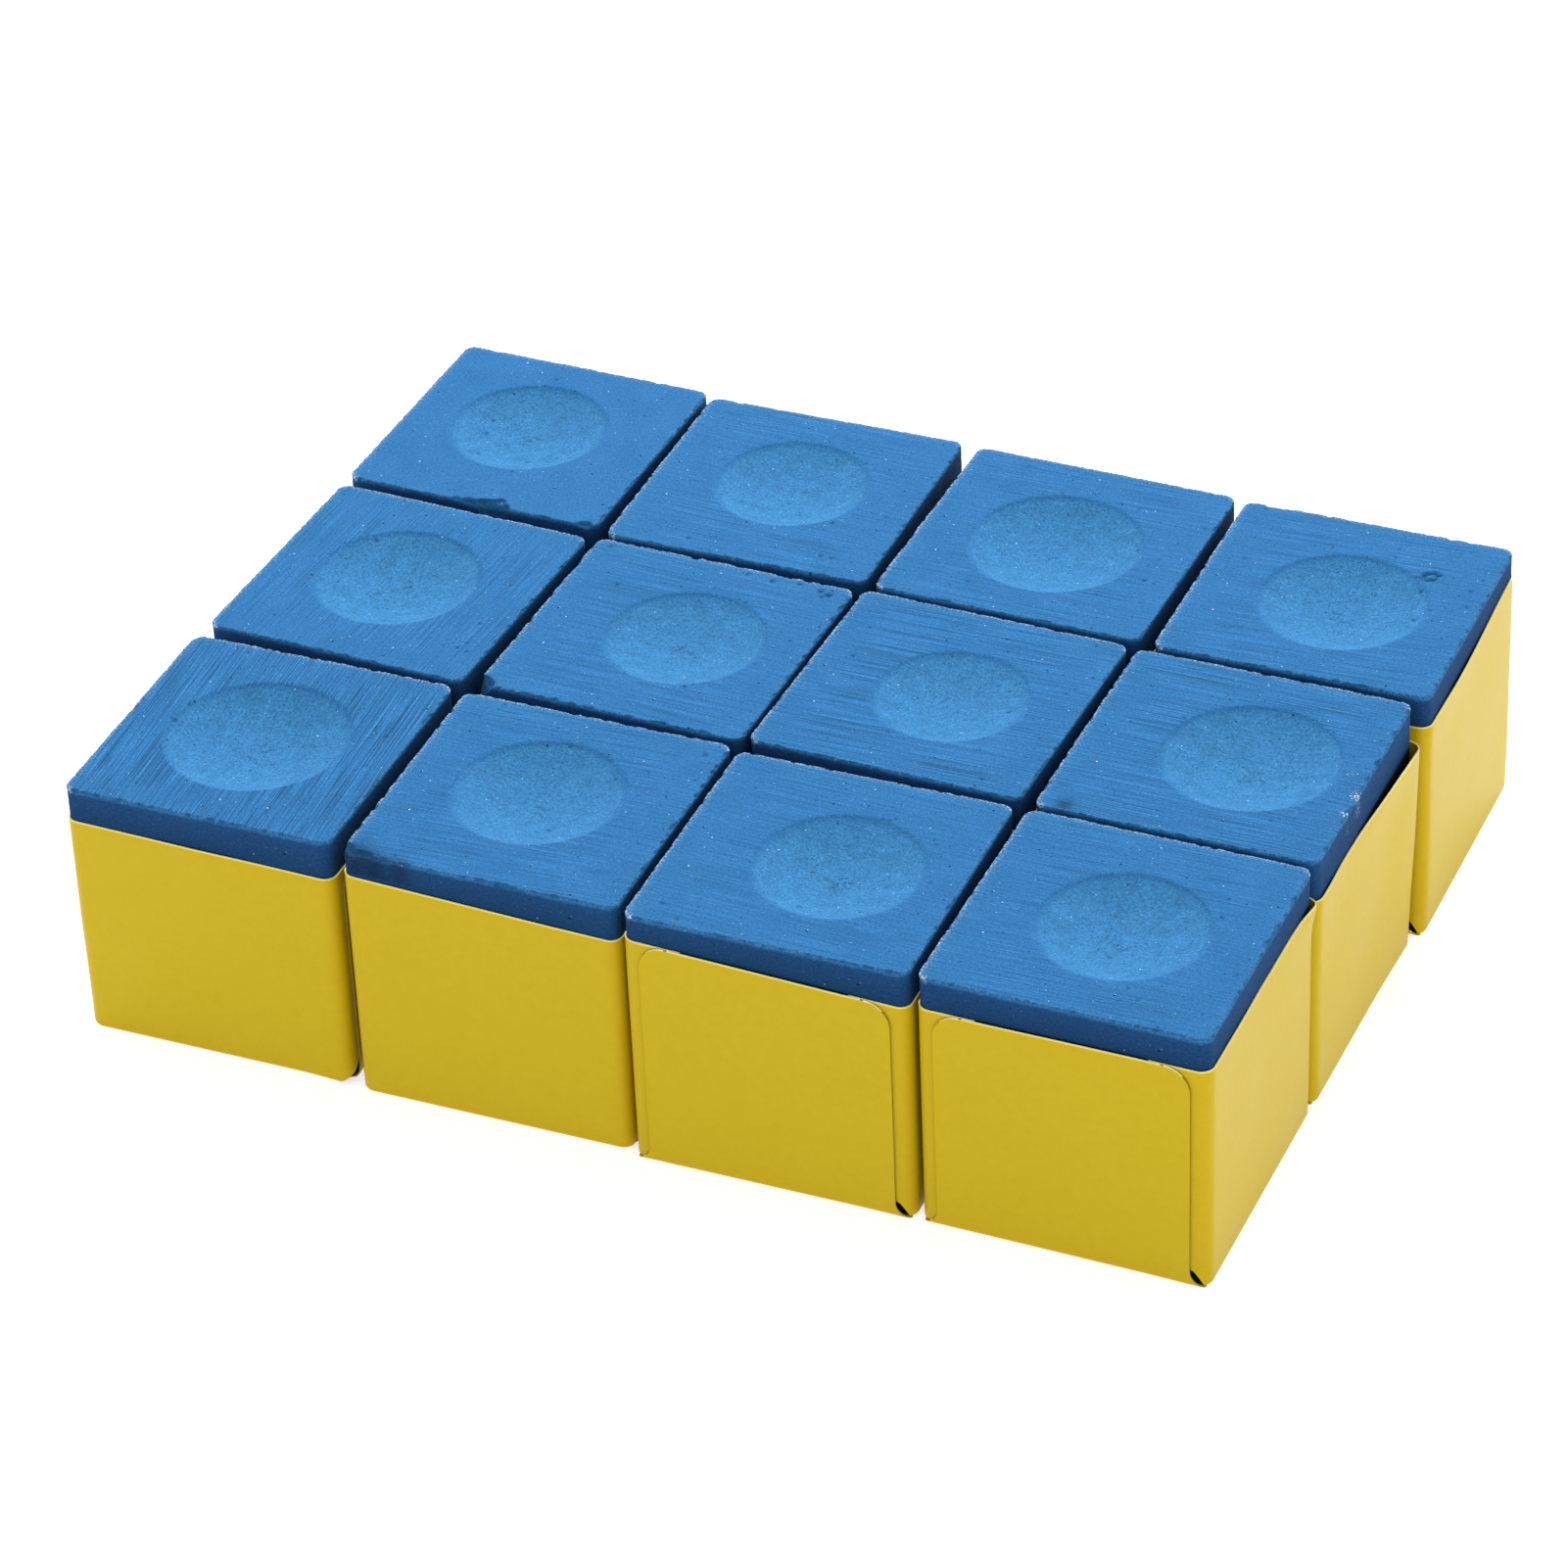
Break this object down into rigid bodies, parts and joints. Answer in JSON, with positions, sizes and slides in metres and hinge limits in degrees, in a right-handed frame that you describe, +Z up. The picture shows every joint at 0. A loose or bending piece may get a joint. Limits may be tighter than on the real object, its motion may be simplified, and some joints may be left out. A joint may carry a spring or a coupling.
{
  "type": "cue chalk cube",
  "caption": "Cubes of blue billiard cue chalk in yellow paper labels, each with a round dimple for the cue tip, standing together in rows as a loose set.",
  "frame": {"origin": "on the table surface, under the middle of the set's box", "axes": "+X along the rows of four, +Y from the front row to the back row, +Z up"},
  "size_m": [0.0922, 0.0692, 0.0221],
  "materials": {
    "chalk": "matte, pitted and dusty",
    "label": "smooth coated paper"
  },
  "bodies": {
    "cube_front_1": {"chalk_block_front_1": "chalk", "paper_label_front_1": "label"},
    "cube_front_2": {"chalk_block_front_2": "chalk", "paper_label_front_2": "label"},
    "cube_front_3": {"chalk_block_front_3": "chalk", "paper_label_front_3": "label"},
    "cube_front_4": {"chalk_block_front_4": "chalk", "paper_label_front_4": "label"},
    "cube_middle_1": {"chalk_block_middle_1": "chalk", "paper_label_middle_1": "label"},
    "cube_middle_2": {"chalk_block_middle_2": "chalk", "paper_label_middle_2": "label"},
    "cube_middle_3": {"chalk_block_middle_3": "chalk", "paper_label_middle_3": "label"},
    "cube_middle_4": {"chalk_block_middle_4": "chalk", "paper_label_middle_4": "label"},
    "cube_back_1": {"chalk_block_back_1": "chalk", "paper_label_back_1": "label"},
    "cube_back_2": {"chalk_block_back_2": "chalk", "paper_label_back_2": "label"},
    "cube_back_3": {"chalk_block_back_3": "chalk", "paper_label_back_3": "label"},
    "cube_back_4": {"chalk_block_back_4": "chalk", "paper_label_back_4": "label"}
  },
  "joints": [
    {"name": "front_1_lift", "type": "slide", "parent": "cube_back_1", "child": "cube_front_1", "axis": [0, 0, 1], "range_m": [0, 0.03]},
    {"name": "front_2_lift", "type": "slide", "parent": "cube_back_1", "child": "cube_front_2", "axis": [0, 0, 1], "range_m": [0, 0.03]},
    {"name": "front_3_lift", "type": "slide", "parent": "cube_back_1", "child": "cube_front_3", "axis": [0, 0, 1], "range_m": [0, 0.03]},
    {"name": "front_4_lift", "type": "slide", "parent": "cube_back_1", "child": "cube_front_4", "axis": [0, 0, 1], "range_m": [0, 0.03]},
    {"name": "middle_1_lift", "type": "slide", "parent": "cube_back_1", "child": "cube_middle_1", "axis": [0, 0, 1], "range_m": [0, 0.03]},
    {"name": "middle_2_lift", "type": "slide", "parent": "cube_back_1", "child": "cube_middle_2", "axis": [0, 0, 1], "range_m": [0, 0.03]},
    {"name": "middle_3_lift", "type": "slide", "parent": "cube_back_1", "child": "cube_middle_3", "axis": [0, 0, 1], "range_m": [0, 0.03]},
    {"name": "middle_4_lift", "type": "slide", "parent": "cube_back_1", "child": "cube_middle_4", "axis": [0, 0, 1], "range_m": [0, 0.03]},
    {"name": "back_2_lift", "type": "slide", "parent": "cube_back_1", "child": "cube_back_2", "axis": [0, 0, 1], "range_m": [0, 0.03]},
    {"name": "back_3_lift", "type": "slide", "parent": "cube_back_1", "child": "cube_back_3", "axis": [0, 0, 1], "range_m": [0, 0.03]},
    {"name": "back_4_lift", "type": "slide", "parent": "cube_back_1", "child": "cube_back_4", "axis": [0, 0, 1], "range_m": [0, 0.03]}
  ]
}
